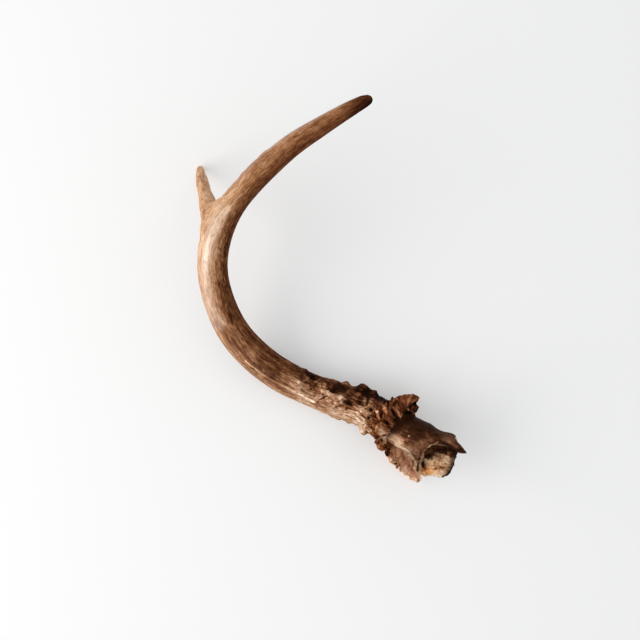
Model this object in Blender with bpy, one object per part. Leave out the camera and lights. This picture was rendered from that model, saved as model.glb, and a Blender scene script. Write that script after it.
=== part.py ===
"""A forked deer antler lying on a flat surface, with its burr and the stump of skull bone it grew from.

Units are metres and +Z is up. Sizes below are written in millimetres and turned into metres once.
The antler rests on three places: the tip of its tine, the underside of its lower beam and the lowest rim
of its burr. The origin is on the surface, under the middle of the antler's bounding box.
"""
import math
import random

import bmesh
import bpy
from mathutils import Vector

MM = 0.001

# ---- driving dimensions, in millimetres -------------------------------------------------------------------

# Middle line of the main beam and its radius there: x, y, z, radius, from the burr to the tip.
BEAM_ROUTE = [
    (69.0, -97.0, 28.0, 17.6),
    (42.4, -79.9, 21.6, 16.6),
    (5.3, -67.5, 15.9, 14.9),
    (-40.8, -45.2, 15.7, 14.8),
    (-73.3, -13.1, 36.0, 14.1),
    (-89.0, 24.8, 58.0, 13.2),
    (-89.5, 60.0, 74.0, 12.8),
    (-71.6, 98.6, 84.0, 11.1),
    (-31.5, 138.4, 95.0, 9.9),
    (1.9, 160.2, 102.0, 8.2),
    (31.6, 176.9, 107.0, 6.1),
    (43.4, 181.8, 108.5, 4.3),
]

# Middle line of the tine, from inside the fork to its tip on the surface.
TINE_ROUTE = [
    (-86.8, 75.9, 78.0, 12.4),
    (-91.8, 90.9, 74.5, 9.6),
    (-96.8, 102.2, 62.0, 7.4),
    (-101.3, 114.4, 41.0, 6.3),
    (-105.1, 126.8, 19.5, 5.1),
    (-107.9, 137.0, 0.2, 3.4),
]

GAP = 0.3                      # between pieces that meet
AROUND = 40                    # points around the beam and the burr
TINE_AROUND = 20
PEDICLE_AROUND = 36

# Rings along the beam: how far from the burr each stretch ends, and the spacing of the rings in it.
RING_STRETCHES = [(96.0, 2.5), (190.0, 5.5), (445.0, 9.0)]
FIRST_RING = 10.0              # distance from the burr's plane to the first ring of the beam
TIP_ROUNDING = 5.0             # length of the worn round tip of the beam
TINE_TIP_ROUNDING = 3.4
TINE_RING_SPACING = 5.0
BASE_TURN = 36.0               # length over which the beam's rings turn into the burr's plane

# The burr is a flared disc whose axis, pointing at the skull, rises from the surface.
BURR_CENTRE = (69.0, -97.0, 28.0)
BURR_ELEVATION = 38.0
BURR_AZIMUTH = -22.0
BURR_ROOT_RADIUS = 18.6
BURR_BEAD = 1.5                # how far the beads of the rim stand in and out
BURR_RIB = 1.3                 # height of the ribs that run out over the burr's faces
BURR_CRUMPLE = 0.9             # how uneven the faces of the burr are between them

# Rim of the burr: angle around its axis in degrees, reach, and lean towards the skull.
BURR_RIM = [
    (0, 33.5, 5.5), (9, 35.0, 5.0), (27, 36.2, 2.2), (48, 35.8, -1.0), (68, 33.4, -1.0),
    (86, 32.6, -1.5), (105, 32.5, -3.0), (118, 33.0, -2.0), (132, 28.0, -1.5), (176, 25.0, 1.0),
    (203, 35.4, 6.8), (218, 47.6, 13.5), (233, 50.5, 14.5), (250, 48.2, 12.0), (266, 44.2, 8.4),
    (285, 35.5, 3.6), (315, 24.5, 1.0), (333, 22.0, 2.5), (342, 27.8, 4.0), (351, 28.0, 4.5),
]

# Section of the burr from the beam's side round the rim to the skull's side: how far out between root and
# rim, share of the lean, and offset along the axis.
BURR_SECTION = [
    (0.18, 0.05, -9.0), (0.42, 0.3, -7.0), (0.7, 0.65, -5.2), (0.92, 0.95, -3.4), (1.0, 1.0, -1.0),
    (0.96, 1.0, 1.1), (0.8, 0.78, 1.5), (0.5, 0.4, 1.0), (0.22, 0.1, 0.0),
]

# Pearls that stand out most: distance from the burr, angle around the beam, height, radius.
LARGE_PEARLS = [
    (43.0, 6.0, 4.4, 8.2), (32.5, 10.0, 4.2, 5.6), (27.0, 178.0, 5.4, 5.6), (46.0, 174.0, 2.0, 4.0),
    (58.0, 12.0, 1.8, 5.0), (70.0, 20.0, 1.8, 5.0), (27.0, 120.0, 3.0, 4.6), (22.0, 75.0, 3.0, 5.0),
    (36.0, 70.0, 2.4, 4.4), (52.0, 50.0, 1.8, 4.0), (30.0, 250.0, 2.4, 4.8), (46.0, 300.0, 2.2, 4.6),
]
SMALL_PEARLS = 120
PEARL_ZONE = 120.0             # how far up the beam the small pearls reach

# Gutters that run along the beam: where they start and end (distance, angle), depth and half width.
GUTTERS = [
    ((62.0, 142.0), (165.0, 112.0), 1.7, 2.6),
    ((80.0, 168.0), (240.0, 150.0), 0.8, 2.4),
    ((70.0, 215.0), (300.0, 200.0), 0.9, 2.6),
    ((90.0, 300.0), (330.0, 320.0), 0.9, 2.6),
    ((110.0, 40.0), (300.0, 60.0), 0.7, 2.4),
]

# The beam is thicker on the side of the fork, where the tine leaves it.
FORK_DISTANCE = 281.0
FORK_ANGLE = 200.0
FORK_SWELLING = 5.6
FORK_LENGTH = 30.0
FORK_CUT = 25.0                # distance of the parting plane from the start of the tine's middle line

# Pedicle: its radius at the burr by angle, and its torn rim as angle, reach and height above the burr. The
# rim has one sharp prong on top, a flange that runs down to one side and a wide lobe beside the flange.
PEDICLE_RADIUS = 17.3
PEDICLE_SEAT = [
    (0, 16.8), (60, 17.3), (110, 17.0), (138, 15.6), (160, 13.8), (185, 13.4), (210, 14.2), (240, 16.4),
    (280, 17.3), (320, 17.0),
]
PEDICLE_RINGS = 12
FLARE_START = 0.62             # share of the pedicle's height where its rim begins to spread
PEDICLE_RIM = [
    (0, 16.6, 55.0), (10, 16.6, 57.0), (20, 15.6, 60.0), (30, 14.6, 64.0), (40, 13.2, 69.5),
    (50, 11.0, 77.5), (60, 13.2, 70.0), (70, 15.4, 62.5), (80, 17.0, 50.0), (105, 17.5, 44.5),
    (122, 18.3, 42.5),
    (140, 19.8, 41.0), (160, 21.5, 34.5), (182, 26.0, 29.0), (200, 31.0, 27.0), (214, 34.0, 31.0),
    (226, 37.0, 40.0), (238, 31.5, 48.0), (250, 26.0, 51.0), (266, 19.8, 53.0), (278, 18.6, 53.5),
    (290, 18.0, 53.5), (302, 17.2, 53.0), (330, 16.6, 53.0),
]
TORN_EDGE = 1.0                # how ragged the torn rim is

# The broken bone inside the rim: a sloping face of spongy bone with a hollow beside the upper wall.
BREAK_HEIGHT = 49.0
BREAK_SLOPE_LEVEL = 0.52
BREAK_SLOPE_UPRIGHT = -0.16
BREAK_RECESS = 1.8
BREAK_RINGS = [0.9, 0.74, 0.52, 0.28]
HOLLOW_PLACE = (1.0, -3.0)
HOLLOW_DEPTH = 17.0
HOLLOW_RADIUS = 17.0
WALL_SHARPNESS = 12            # how steeply the broken bone drops behind the rim

SEED = 11


# ---- small tools ------------------------------------------------------------------------------------------

def clear_scene():
    for thing in list(bpy.data.objects):
        bpy.data.objects.remove(thing, do_unlink=True)


def smooth_step(low, high, value):
    t = min(1.0, max(0.0, (value - low) / (high - low)))
    return t * t * (3.0 - 2.0 * t)


def bump(distance, width):
    """A round hill: 1 at no distance, 0 from the width outwards."""
    t = min(1.0, abs(distance) / width)
    return (1.0 - t * t) ** 2


def angle_between(first, second):
    """Smallest turn from one angle to another, in degrees."""
    return (first - second + 180.0) % 360.0 - 180.0


def around_value(table, angle, column):
    """Smooth value of a table of (angle, ...) rows that closes on itself."""
    count = len(table)
    for i in range(count):
        here, after = table[i], table[(i + 1) % count]
        span = (after[0] - here[0]) % 360.0
        offset = (angle - here[0]) % 360.0
        if offset < span:
            before, beyond = table[i - 1], table[(i + 2) % count]
            return catmull_rom(before[column], here[column], after[column], beyond[column], offset / span)
    return table[0][column]


def catmull_rom(p0, p1, p2, p3, t):
    """Value between p1 and p2 on a curve that passes through both."""
    return 0.5 * (2.0 * p1 + (p2 - p0) * t + (2.0 * p0 - 5.0 * p1 + 4.0 * p2 - p3) * t * t
                  + (3.0 * p1 - p0 - 3.0 * p2 + p3) * t * t * t)


class Route:
    """A smooth middle line through (x, y, z, radius) points, measured along its length."""

    PIECES = 24

    def __init__(self, points):
        first = [2.0 * a - b for a, b in zip(points[0], points[1])]
        last = [2.0 * a - b for a, b in zip(points[-1], points[-2])]
        first[3], last[3] = points[0][3], points[-1][3]
        padded = [first] + [list(p) for p in points] + [last]
        self.samples = []
        for i in range(1, len(padded) - 2):
            for j in range(self.PIECES):
                t = j / self.PIECES
                self.samples.append([catmull_rom(padded[i - 1][k], padded[i][k], padded[i + 1][k],
                                                 padded[i + 2][k], t) for k in range(4)])
        self.samples.append(list(points[-1]))
        self.distances = [0.0]
        for a, b in zip(self.samples, self.samples[1:]):
            self.distances.append(self.distances[-1] + math.dist(a[:3], b[:3]))
        self.length = self.distances[-1]

    def at(self, distance):
        """Place and radius at a distance along the line."""
        distance = min(max(distance, 0.0), self.length)
        for i in range(len(self.distances) - 1):
            if distance <= self.distances[i + 1]:
                span = self.distances[i + 1] - self.distances[i]
                t = (distance - self.distances[i]) / span
                row = [a + (b - a) * t for a, b in zip(self.samples[i], self.samples[i + 1])]
                return Vector(row[:3]), row[3]
        return Vector(self.samples[-1][:3]), self.samples[-1][3]

    def direction(self, distance):
        step = 1.5
        ahead, _ = self.at(distance + step)
        behind, _ = self.at(distance - step)
        return (ahead - behind).normalized()


def cross_axes(direction):
    """Two axes across a direction: one level, one as near to upright as it can be."""
    side = direction.cross(Vector((0.0, 0.0, 1.0))).normalized()
    upper = side.cross(direction).normalized()
    return side, upper


def ring_points(centre, side, upper, radii):
    points = []
    count = len(radii)
    for i, radius in enumerate(radii):
        angle = 2.0 * math.pi * i / count
        points.append(centre + side * (radius * math.cos(angle)) + upper * (radius * math.sin(angle)))
    return points


def around_axis(centre, axis, side, upper, radius, angle, height):
    """The point at a radius, an angle in degrees and a height from a centre on an axis."""
    turn = math.radians(angle)
    return centre + side * (radius * math.cos(turn)) + upper * (radius * math.sin(turn)) + axis * height


def loft(name, rings, close_first, close_last):
    """One closed body through rings of equal count, each end closed by a fan or by one flat face."""
    mesh_data = bmesh.new()
    loops = [[mesh_data.verts.new(p * MM) for p in ring] for ring in rings]
    for lower, higher in zip(loops, loops[1:]):
        count = len(lower)
        for i in range(count):
            j = (i + 1) % count
            mesh_data.faces.new((lower[i], lower[j], higher[j], higher[i]))
    for loop, style in ((loops[0], close_first), (loops[-1], close_last)):
        if style == "flat":
            mesh_data.faces.new(loop)
        else:
            middle = mesh_data.verts.new(style * MM)
            for i in range(len(loop)):
                mesh_data.faces.new((loop[i], loop[(i + 1) % len(loop)], middle))
    bmesh.ops.recalc_face_normals(mesh_data, faces=mesh_data.faces)
    bmesh.ops.triangulate(mesh_data, faces=mesh_data.faces)
    mesh = bpy.data.meshes.new(name)
    mesh_data.to_mesh(mesh)
    mesh_data.free()
    mesh.shade_smooth()
    thing = bpy.data.objects.new(name, mesh)
    bpy.context.collection.objects.link(thing)
    return thing


def bone_material(thing, name, colour, roughness):
    material = bpy.data.materials.new(name)
    material.use_nodes = True
    shader = material.node_tree.nodes["Principled BSDF"]
    shader.inputs["Base Color"].default_value = (*colour, 1.0)
    shader.inputs["Roughness"].default_value = roughness
    shader.inputs["Metallic"].default_value = 0.0
    thing.data.materials.append(material)


# ---- the main beam ----------------------------------------------------------------------------------------

def burr_frame():
    """Centre of the burr, its axis towards the skull, and the two axes of its plane."""
    elevation = math.radians(BURR_ELEVATION)
    azimuth = math.radians(BURR_AZIMUTH)
    axis = Vector((math.cos(elevation) * math.cos(azimuth), math.cos(elevation) * math.sin(azimuth),
                   math.sin(elevation)))
    side, upper = cross_axes(-axis)
    return Vector(BURR_CENTRE), axis, side, upper


def small_pearls(rng):
    """Small pearls crowd at the burr and thin out up the beam."""
    pearls = []
    for _ in range(SMALL_PEARLS):
        distance = FIRST_RING + (PEARL_ZONE - FIRST_RING) * rng.random() ** 1.7
        fade = 1.0 - distance / (PEARL_ZONE * 1.15)
        angle = rng.uniform(0.0, 360.0)
        pearls.append((distance, angle, rng.uniform(-1.3, 2.6) * fade, rng.uniform(3.0, 4.8)))
    return pearls


def gutter_depth(distance, angle, radius):
    depth = 0.0
    for (start, start_angle), (end, end_angle), deep, half_width in GUTTERS:
        if start < distance < end:
            along = (distance - start) / (end - start)
            middle = start_angle + (end_angle - start_angle) * along
            across = math.radians(abs(angle_between(angle, middle))) * radius
            fade = min(1.0, 6.0 * along, 4.0 * (1.0 - along))
            depth += deep * fade * bump(across, half_width * 1.6)
    return depth


def beam_radius(distance, angle, radius, pearls):
    """Radius of the beam at one place: its own thickness, with pearls, gutters and the fork's swelling."""
    result = radius - gutter_depth(distance, angle, radius)
    for place, pearl_angle, height, pearl_radius in pearls:
        if abs(place - distance) < pearl_radius:
            across = math.radians(abs(angle_between(angle, pearl_angle))) * radius
            result += height * bump(math.hypot(place - distance, across), pearl_radius)
    fork = bump(distance - FORK_DISTANCE, FORK_LENGTH) * bump(angle_between(angle, FORK_ANGLE), 110.0)
    return result + FORK_SWELLING * fork


def ring_distances(length):
    distances = [FIRST_RING]
    for end, spacing in RING_STRETCHES:
        while distances[-1] + spacing < min(end, length - TIP_ROUNDING):
            distances.append(distances[-1] + spacing)
    return distances


def beam_rings(route):
    """Rings of the beam from its blunt tip down to the burr."""
    rng = random.Random(SEED)
    pearls = LARGE_PEARLS + small_pearls(rng)
    _, axis, _, _ = burr_frame()
    rings = []
    for distance in ring_distances(route.length):
        centre, radius = route.at(distance)
        turn = smooth_step(BASE_TURN, 0.0, distance)
        normal = route.direction(distance).lerp(-axis, turn).normalized()
        side, upper = cross_axes(normal)
        radii = [beam_radius(distance, 360.0 * i / AROUND, radius, pearls) for i in range(AROUND)]
        rings.append(ring_points(centre, side, upper, radii))
    for step in (0.35, 0.65, 0.9):
        centre, radius = route.at(route.length - TIP_ROUNDING * (1.0 - step))
        side, upper = cross_axes(route.direction(route.length - TIP_ROUNDING))
        radii = [radius * math.sqrt(1.0 - step * step * 0.9)] * AROUND
        rings.append(ring_points(centre, side, upper, radii))
    rings.reverse()
    return rings


def burr_rings():
    """Rings out along the beam's side of the burr, round its rim and back to the seat of the pedicle."""
    rng = random.Random(SEED + 1)
    centre, axis, side, upper = burr_frame()
    beads = [rng.uniform(-BURR_BEAD, BURR_BEAD) for _ in range(AROUND)]
    ribs = [rng.uniform(-BURR_RIB, BURR_RIB) for _ in range(AROUND)]
    rings = []
    for out, lean_share, offset in BURR_SECTION:
        face = -1.0 if offset < 0.0 else 0.5
        ring = []
        for i in range(AROUND):
            angle = 360.0 * i / AROUND
            reach = around_value(BURR_RIM, angle, 1) + beads[i]
            lean = around_value(BURR_RIM, angle, 2)
            radius = BURR_ROOT_RADIUS + (reach - BURR_ROOT_RADIUS) * out
            crumple = ribs[i] * bump(out - 0.6, 0.7) + rng.uniform(-BURR_CRUMPLE, BURR_CRUMPLE)
            height = lean * lean_share + offset + crumple * face
            ring.append(around_axis(centre, axis, side, upper, radius, angle, height))
        rings.append(ring)
    rings.append(ring_points(centre, side, upper, [PEDICLE_RADIUS + 1.0] * AROUND))
    return rings


def make_beam(route):
    rings = beam_rings(route) + burr_rings()
    tip, _ = route.at(route.length)
    beam = loft("beam", rings, tip, "flat")
    bone_material(beam, "antler bone", (0.30, 0.17, 0.09), 0.5)
    return beam


# ---- the tine ---------------------------------------------------------------------------------------------

def make_tine_blank(route):
    """The whole tine with its root inside the beam, before the two are joined and parted."""
    rings = []
    distance = 0.0
    while distance < route.length - TINE_TIP_ROUNDING:
        centre, radius = route.at(distance)
        side, upper = cross_axes(route.direction(distance))
        rings.append(ring_points(centre, side, upper, [radius] * TINE_AROUND))
        distance += TINE_RING_SPACING
    for step in (0.3, 0.7, 0.92):
        centre, radius = route.at(route.length - TINE_TIP_ROUNDING * (1.0 - step))
        side, upper = cross_axes(route.direction(route.length - TINE_TIP_ROUNDING))
        radii = [radius * math.sqrt(1.0 - step * step * 0.9)] * TINE_AROUND
        rings.append(ring_points(centre, side, upper, radii))
    root, _ = route.at(0.0)
    tip, _ = route.at(route.length)
    return loft("tine", rings, root, tip)


def apply_boolean(target, cutter, operation):
    change = target.modifiers.new("change", "BOOLEAN")
    change.operation = operation
    change.solver = "EXACT"
    change.object = cutter
    bake_modifiers(target)


def bake_modifiers(thing):
    """Replaces a mesh by the shape that its modifiers give it."""
    graph = bpy.context.evaluated_depsgraph_get()
    mesh = bpy.data.meshes.new_from_object(thing.evaluated_get(graph))
    thing.modifiers.clear()
    thing.data = mesh


def keep_one_side(thing, point, normal):
    """Cuts a body by a plane, drops what lies ahead of the plane and closes the cut."""
    mesh_data = bmesh.new()
    mesh_data.from_mesh(thing.data)
    everything = mesh_data.verts[:] + mesh_data.edges[:] + mesh_data.faces[:]
    cut = bmesh.ops.bisect_plane(mesh_data, geom=everything, plane_co=point * MM, plane_no=normal,
                                 clear_outer=True)
    edges = [part for part in cut["geom_cut"] if isinstance(part, bmesh.types.BMEdge)]
    bmesh.ops.holes_fill(mesh_data, edges=edges)
    bmesh.ops.triangulate(mesh_data, faces=mesh_data.faces)
    mesh_data.to_mesh(thing.data)
    mesh_data.free()


def part_at_fork(beam, tine, route):
    """The tine's root is cut flat, and a block of the same cut is left on the beam as its shoulder."""
    point, _ = route.at(FORK_CUT)
    normal = route.direction(FORK_CUT)
    shoulder = tine.copy()
    shoulder.data = tine.data.copy()
    bpy.context.collection.objects.link(shoulder)
    keep_one_side(shoulder, point - normal * (GAP / 2.0), normal)
    keep_one_side(tine, point + normal * (GAP / 2.0), -normal)
    apply_boolean(beam, shoulder, "UNION")
    bpy.data.objects.remove(shoulder, do_unlink=True)


# ---- the pedicle ------------------------------------------------------------------------------------------

def break_height(level, upright):
    """Height of the broken bone above the burr, at a place across the pedicle's axis."""
    height = BREAK_HEIGHT + BREAK_SLOPE_LEVEL * level + BREAK_SLOPE_UPRIGHT * upright - BREAK_RECESS
    from_hollow = math.hypot(level - HOLLOW_PLACE[0], upright - HOLLOW_PLACE[1])
    return height - HOLLOW_DEPTH * bump(from_hollow, HOLLOW_RADIUS)


def pedicle_rings():
    """Rings up the pedicle from its seat to the torn rim, then in over the broken bone."""
    rng = random.Random(SEED + 2)
    centre, axis, side, upper = burr_frame()
    rim = []
    for i in range(PEDICLE_AROUND):
        angle = 360.0 * i / PEDICLE_AROUND
        height = around_value(PEDICLE_RIM, angle, 2) + rng.uniform(-TORN_EDGE, TORN_EDGE)
        rim.append((angle, around_value(PEDICLE_RIM, angle, 1), height))
    rings = []
    for number in range(PEDICLE_RINGS + 1):
        rise = number / PEDICLE_RINGS
        ring = []
        for angle, reach, height in rim:
            seat = around_value(PEDICLE_SEAT, angle, 1)
            radius = seat + (reach - seat) * smooth_step(FLARE_START, 1.05, rise)
            ring.append(around_axis(centre, axis, side, upper, radius, angle, GAP + (height - GAP) * rise))
        rings.append(ring)
    for share in BREAK_RINGS:
        ring = []
        for angle, reach, height in rim:
            turn = math.radians(angle)
            radius = reach * share
            broken = break_height(radius * math.cos(turn), radius * math.sin(turn)) + rng.uniform(-0.5, 0.5)
            near_rim = share ** WALL_SHARPNESS
            height = min(height * near_rim + broken * (1.0 - near_rim), height - 1.0 + 6.0 * (1.0 - share))
            ring.append(around_axis(centre, axis, side, upper, radius, angle, height))
        rings.append(ring)
    return rings, centre + axis * break_height(0.0, 0.0)


def make_pedicle():
    rings, bottom = pedicle_rings()
    pedicle = loft("pedicle", rings, "flat", bottom)
    bone_material(pedicle, "skull bone", (0.22, 0.14, 0.09), 0.6)
    return pedicle


# ---- resting on the surface -------------------------------------------------------------------------------

def rest_on_surface(things):
    """Flattens what would sink into the surface, then puts the box's middle over the origin."""
    for thing in things:
        for vertex in thing.data.vertices:
            vertex.co.z = max(vertex.co.z, 0.0)
    xs = [v.co.x for thing in things for v in thing.data.vertices]
    ys = [v.co.y for thing in things for v in thing.data.vertices]
    shift_x = -(min(xs) + max(xs)) / 2.0
    shift_y = -(min(ys) + max(ys)) / 2.0
    for thing in things:
        for vertex in thing.data.vertices:
            vertex.co.x += shift_x
            vertex.co.y += shift_y


def main():
    clear_scene()
    beam_route = Route(BEAM_ROUTE)
    tine_route = Route(TINE_ROUTE)
    beam = make_beam(beam_route)
    tine = make_tine_blank(tine_route)
    part_at_fork(beam, tine, tine_route)
    bone_material(tine, "tine bone", (0.42, 0.27, 0.17), 0.5)
    pedicle = make_pedicle()
    rest_on_surface([beam, tine, pedicle])


main()
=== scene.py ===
# %% [markdown]
# # A forked deer antler, lying on a pale floor
# An antler is bone that grew in one summer under a furry skin. The skin left its mark on it: long shallow
# gutters where its blood vessels lay, and round pearls that crowd towards the base. At the base is the burr,
# a ragged crown of the same bone, and under the burr this antler still has the stump of skull bone that
# carried it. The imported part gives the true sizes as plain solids. This notebook puts a skin over each of
# them that has the small forms and the colours of the real thing.

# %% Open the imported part
import math

import bpy
import numpy as np
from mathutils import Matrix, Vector, noise


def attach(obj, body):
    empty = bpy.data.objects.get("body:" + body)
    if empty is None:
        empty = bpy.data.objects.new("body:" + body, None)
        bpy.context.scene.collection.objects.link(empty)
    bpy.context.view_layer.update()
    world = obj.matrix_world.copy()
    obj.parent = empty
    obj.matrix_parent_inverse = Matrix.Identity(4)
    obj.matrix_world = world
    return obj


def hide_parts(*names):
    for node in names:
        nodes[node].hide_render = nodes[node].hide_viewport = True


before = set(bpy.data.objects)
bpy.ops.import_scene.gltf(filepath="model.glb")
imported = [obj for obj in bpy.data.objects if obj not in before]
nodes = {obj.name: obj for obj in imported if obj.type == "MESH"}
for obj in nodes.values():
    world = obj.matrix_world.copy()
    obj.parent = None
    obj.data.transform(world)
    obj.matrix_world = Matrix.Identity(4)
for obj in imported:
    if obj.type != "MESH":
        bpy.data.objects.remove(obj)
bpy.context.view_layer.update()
MM = 0.001

# %% [markdown]
# ## The middle lines
# Streaks, gutters and stains all follow the bone, so every point of the skin has to know how far along the
# beam it lies and on which side of it. Both come from the middle line of the beam and that of the tine, drawn
# here through a few points in millimetres. The angle around the line is 0 on the inside of the crook, 90 on
# top and 180 on the outside.

# %% Middle lines of the beam and the tine
PART_SHIFT = np.array((-6.04, -20.91, 0))      # from under the camera to the middle of the part's box
BEAM_LINE = np.array([
    (69, -97, 28), (42.4, -79.9, 21.6), (5.3, -67.5, 15.9), (-40.8, -45.2, 15.7), (-73.3, -13.1, 36),
    (-89, 24.8, 58), (-89.5, 60, 74), (-71.6, 98.6, 84), (-31.5, 138.4, 95), (1.9, 160.2, 102),
    (31.6, 176.9, 107), (43.4, 181.8, 108.5)]) + PART_SHIFT
TINE_LINE = np.array([
    (-86.8, 75.9, 78), (-91.8, 90.9, 74.5), (-96.8, 102.2, 62), (-101.3, 114.4, 41),
    (-105.1, 126.8, 19.5), (-107.9, 137, 0.2)]) + PART_SHIFT
POINTS_AT_ONCE = 4000       # few enough to keep the table of distances small


def smooth_line(points, pieces=24):
    """A smooth line through the points, as places, distances along it, and directions."""
    padded = np.vstack([2 * points[0] - points[1], points, 2 * points[-1] - points[-2]])
    places = []
    for before, here, after, beyond in zip(padded, padded[1:], padded[2:], padded[3:]):
        for step in np.arange(pieces) / pieces:
            places.append(0.5 * (2 * here + (after - before) * step
                                 + (2 * before - 5 * here + 4 * after - beyond) * step ** 2
                                 + (3 * here - before - 3 * after + beyond) * step ** 3))
    places = np.array(places + [points[-1]])
    distances = np.concatenate([[0], np.cumsum(np.linalg.norm(np.diff(places, axis=0), axis=1))])
    directions = np.gradient(places, axis=0)
    return places, distances, directions / np.linalg.norm(directions, axis=1)[:, None]


def along_line(points, line):
    """For each point: distance along the line, distance from it, and angle around it in radians."""
    places, distances, directions = line
    nearest = np.empty(len(points), int)
    for start in range(0, len(points), POINTS_AT_ONCE):
        part = points[start:start + POINTS_AT_ONCE]
        nearest[start:start + POINTS_AT_ONCE] = ((part[:, None, :] - places[None, :, :]) ** 2).sum(2).argmin(1)
    direction = directions[nearest]
    offset = points - places[nearest]
    ahead = (offset * direction).sum(1)
    offset = offset - direction * ahead[:, None]
    side = np.cross(direction, (0, 0, 1))
    side /= np.linalg.norm(side, axis=1)[:, None]
    upper = np.cross(side, direction)
    angle = np.arctan2((offset * upper).sum(1), (offset * side).sum(1))
    return distances[nearest] + ahead, np.linalg.norm(offset, axis=1), angle


beam_line = smooth_line(BEAM_LINE)
tine_line = smooth_line(TINE_LINE)
print("beam", round(beam_line[1][-1]), "mm long, tine", round(tine_line[1][-1]), "mm")

# %% [markdown]
# ## The burr's own directions
# The burr is a flared plate across the end of the beam. Its axis points up and away, towards the skull.
# Heights are counted along that axis from the plate, and angles around it as seen from the beam.

# %% Directions of the burr
BURR_CENTRE = np.array((69, -97, 28)) + PART_SHIFT
BURR_RISE = math.radians(38)
BURR_HEADING = math.radians(-22)
burr_axis = np.array((math.cos(BURR_RISE) * math.cos(BURR_HEADING),
                      math.cos(BURR_RISE) * math.sin(BURR_HEADING), math.sin(BURR_RISE)))
burr_side = np.cross(-burr_axis, (0, 0, 1))
burr_side /= np.linalg.norm(burr_side)
burr_upper = np.cross(burr_side, -burr_axis)


def around_burr(points):
    """Height above the burr's plate, distance from its axis, and angle in degrees."""
    offset = points - BURR_CENTRE
    level, upright = offset @ burr_side, offset @ burr_upper
    return offset @ burr_axis, np.hypot(level, upright), np.degrees(np.arctan2(upright, level)) % 360


print("the burr faces", burr_axis.round(2))

# %% [markdown]
# ## Tools for sculpting in code
# A skin starts as a copy of the solid. The Remesh modifier rebuilds it from small even squares, and smoothing
# takes the flat facets out. After that each small form is a move of the points along their own normals, as a
# sculpting brush would do it.

# %% Copy, remesh and read a mesh
def select_only(*things):
    bpy.ops.object.select_all(action="DESELECT")
    for thing in things:
        thing.select_set(True)
    bpy.context.view_layer.objects.active = things[0]


SAME_PLACE = 0.00001        # corners that are closer, in metres, are one


def merged_copy(node, name):
    """A copy of a solid with the loose corners of its triangles joined."""
    thing = bpy.data.objects.new(name, nodes[node].data.copy())
    bpy.context.scene.collection.objects.link(thing)
    thing.data.materials.clear()
    select_only(thing)
    bpy.ops.object.mode_set(mode="EDIT")
    bpy.ops.mesh.select_all(action="SELECT")
    bpy.ops.mesh.remove_doubles(threshold=SAME_PLACE)
    bpy.ops.object.mode_set(mode="OBJECT")
    return thing


def apply_modifier(thing, title, kind, **settings):
    """Adds a modifier with its settings and applies it at once."""
    select_only(thing)
    modifier = thing.modifiers.new(title, kind)
    for key, value in settings.items():
        setattr(modifier, key, value)
    bpy.ops.object.modifier_apply(modifier=modifier.name)


def even_skin(thing, size_mm, smoothing):
    """Rebuilds a closed shape from even squares and smooths its facets away."""
    apply_modifier(thing, "even squares", "REMESH", mode="VOXEL", voxel_size=size_mm * MM, use_smooth_shade=True)
    apply_modifier(thing, "soften", "SMOOTH", factor=0.5, iterations=smoothing)
    print(thing.name, len(thing.data.polygons), "faces")


def read_threes(items, field):
    flat = np.empty(len(items) * 3)
    items.foreach_get(field, flat)
    return flat.reshape(-1, 3)


def read_points(thing):
    return read_threes(thing.data.vertices, "co") / MM


def read_normals(thing):
    return read_threes(thing.data.vertex_normals, "vector")


def write_points(thing, points):
    thing.data.vertices.foreach_set("co", (points * MM).ravel())
    thing.data.update()


def write_above_floor(thing, points):
    points[:, 2] = np.maximum(points[:, 2], 0)
    write_points(thing, points)


def push(thing, what, amount):
    """Moves each point along its normal by its own amount in millimetres."""
    write_points(thing, read_points(thing) + read_normals(thing) * amount[:, None])
    print(what, "from", round(float(amount.min()), 1), "to", round(float(amount.max()), 1), "mm")


def settled(thing, values, rounds):
    """Values averaged with those of the neighbours along the edges, several times over."""
    ends = np.empty(len(thing.data.edges) * 2, int)
    thing.data.edges.foreach_get("vertices", ends)
    first, second = ends[0::2], ends[1::2]
    count = len(thing.data.vertices)
    degree = np.bincount(first, minlength=count) + np.bincount(second, minlength=count)
    values = np.array(values, float).reshape(count, -1)
    for _ in range(rounds):
        total = np.empty_like(values)
        for column in range(values.shape[1]):
            total[:, column] = (np.bincount(first, values[second, column], count)
                                + np.bincount(second, values[first, column], count))
        values = 0.5 * values + 0.5 * total / degree[:, None]
    return values


def hollowness(thing, rounds):
    """How deep each point lies in a pit, in millimetres; ridges come out below zero."""
    points = read_points(thing)
    return ((settled(thing, points, rounds) - points) * read_normals(thing)).sum(1)


# %% Patterns to push with
FINER_FADE, FINER_BY = 0.9, 2       # how fast finer hills get lower, and how much finer each layer is


def hills(points, size, octaves=1, shift=0):
    """Rolling noise from about -1 to 1 whose hills are about a size apart; a shift gives other hills."""
    scaled = (points / size + shift).tolist()
    if octaves == 1:
        return np.array([noise.noise(p) for p in scaled])
    return np.array([noise.fractal(p, FINER_FADE, FINER_BY, octaves) for p in scaled])


def cells(points, size, shift=0):
    """Distance to the nearest seed of a scattered pattern, and to the wall between two of them."""
    found = np.array([noise.voronoi(p)[0][:2] for p in (points / size + shift).tolist()])
    return found[:, 0], found[:, 1] - found[:, 0]


def ramp(low, high, values):
    """0 at low, 1 at high and smooth between them."""
    t = np.clip((values - low) / (high - low), 0, 1)
    return t * t * (3 - 2 * t)


def falling(low, high, values):
    """1 at low, 0 at high and smooth between them."""
    return ramp(high, low, values)


def dome(distance, radius):
    """1 in the middle and 0 from the radius outwards."""
    return (1 - np.clip(distance / radius, 0, 1) ** 2) ** 2


def unroll(along, radius, angle):
    """Places around a round bone, with the distance along it as the first coordinate."""
    return np.stack([along, radius * np.cos(angle), radius * np.sin(angle)], axis=1)


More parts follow.
